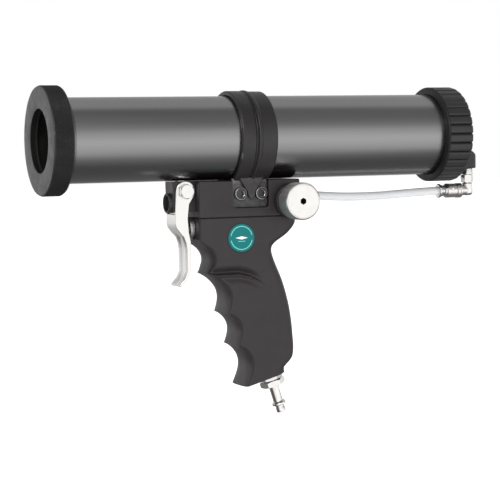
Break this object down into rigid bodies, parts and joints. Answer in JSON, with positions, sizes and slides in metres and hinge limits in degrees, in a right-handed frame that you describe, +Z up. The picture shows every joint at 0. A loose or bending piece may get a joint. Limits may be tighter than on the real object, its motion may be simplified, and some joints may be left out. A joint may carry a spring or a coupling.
{
  "type": "pneumatic caulking gun",
  "caption": "Air-powered caulking gun: long metal barrel with a knurled front cap and ribbed rear cap, pistol grip, trigger, regulator knob and air hose.",
  "frame": {"origin": "centre of the bounding box", "axes": "+X along the barrel from the front cap to the rear cap, +Y across, away from the regulator knob, +Z up, from the grip's inlet to the barrel"},
  "size_m": [0.3274, 0.0746, 0.2286],
  "materials": {
    "anodised_barrel": "satin anodised, dark grey",
    "thread_ring": "satin, dark grey",
    "black_plastic": "moulded black",
    "black_satin_metal": "satin black",
    "handle_plastic": "moulded, dark grey with a fine grain",
    "rubber": "black",
    "aluminium": "turned",
    "hose_plastic": "milky, translucent",
    "badge_enamel": "teal with a lighter ring",
    "brass": "turned",
    "sintered_bronze": "porous",
    "zinc_steel": "zinc plated",
    "bright_nickel": "bright nickel plated"
  },
  "bodies": {
    "frame": {"barrel_tube": "anodised_barrel", "front_thread_ring": "thread_ring", "rear_cap": "black_plastic", "rear_cap_gasket": "rubber", "barrel_collar": "black_satin_metal", "clamp_screw_near_front": "zinc_steel", "clamp_screw_near_rear": "zinc_steel", "clamp_screw_far_front": "zinc_steel", "clamp_screw_far_rear": "zinc_steel", "head_block": "handle_plastic", "handle_gasket": "rubber", "handle_screw_1": "zinc_steel", "handle_screw_2": "zinc_steel", "handle_screw_3": "zinc_steel", "exhaust_silencer": "sintered_bronze", "grip": "handle_plastic", "badge": "badge_enamel", "pivot_bolt": "bright_nickel", "pivot_nut": "bright_nickel", "valve_bushing": "bright_nickel", "valve_spring": "zinc_steel", "regulator_bonnet": "black_plastic", "regulator_spring": "zinc_steel", "regulator_piston": "brass", "regulator_poppet": "brass", "hose_connector": "bright_nickel", "hose_connector_nut": "bright_nickel", "air_hose": "hose_plastic", "hose_ferrule": "bright_nickel", "hose_nut": "bright_nickel", "hose_elbow": "bright_nickel", "elbow_nut": "bright_nickel", "inlet_bushing": "bright_nickel", "inlet_washer": "rubber", "inlet_nipple": "bright_nickel"},
    "trigger": {"trigger": "bright_nickel"},
    "valve_plunger": {"valve_plunger": "zinc_steel", "valve_seal": "rubber"},
    "spring_seat": {"spring_seat": "brass"},
    "knob": {"regulator_knob": "bright_nickel", "regulator_spindle": "zinc_steel"},
    "front_seal": {"front_seal": "rubber"},
    "front_cap": {"front_cap": "black_satin_metal"},
    "piston": {"piston": "aluminium", "piston_seal_front": "rubber", "piston_seal_rear": "rubber"}
  },
  "joints": [
    {"name": "trigger_pull", "type": "hinge", "parent": "frame", "child": "trigger", "pos_m": [-0.06525, 0.00075, 0.04221], "axis": [0, -1, 0], "range_deg": [0, 6.5], "stiffness_Nm_per_rad": 1, "springref_deg": -11.46},
    {"name": "valve_push", "type": "slide", "parent": "frame", "child": "valve_plunger", "axis": [1, 0, 0], "range_m": [0, 0.0035], "deforming": ["valve_spring"]},
    {"name": "seat_slide", "type": "slide", "parent": "frame", "child": "spring_seat", "axis": [0, 1, 0], "range_m": [-0.002, 0.002], "deforming": ["regulator_spring"]},
    {"name": "knob_turn", "type": "hinge", "parent": "spring_seat", "child": "knob", "pos_m": [0.00845, -0.02925, 0.03411], "axis": [0, 1, 0], "range_deg": [-720, 720]},
    {"name": "seal_slide", "type": "slide", "parent": "frame", "child": "front_seal", "axis": [-1, 0, 0], "range_m": [0, 0.009]},
    {"name": "front_cap_turn", "type": "hinge", "parent": "front_seal", "child": "front_cap", "pos_m": [-0.15675, 0.00075, 0.07781], "axis": [-1, 0, 0], "range_deg": [0, 1080]},
    {"name": "piston_slide", "type": "slide", "parent": "frame", "child": "piston", "axis": [-1, 0, 0], "range_m": [0, 0.26]}
  ],
  "couplings": [
    {"joint": "valve_push", "follows": "trigger_pull", "m_per_rad": 0.0285},
    {"joint": "seat_slide", "follows": "knob_turn", "m_per_rad": 0.00015915},
    {"joint": "seal_slide", "follows": "front_cap_turn", "m_per_rad": 0.00047746}
  ]
}
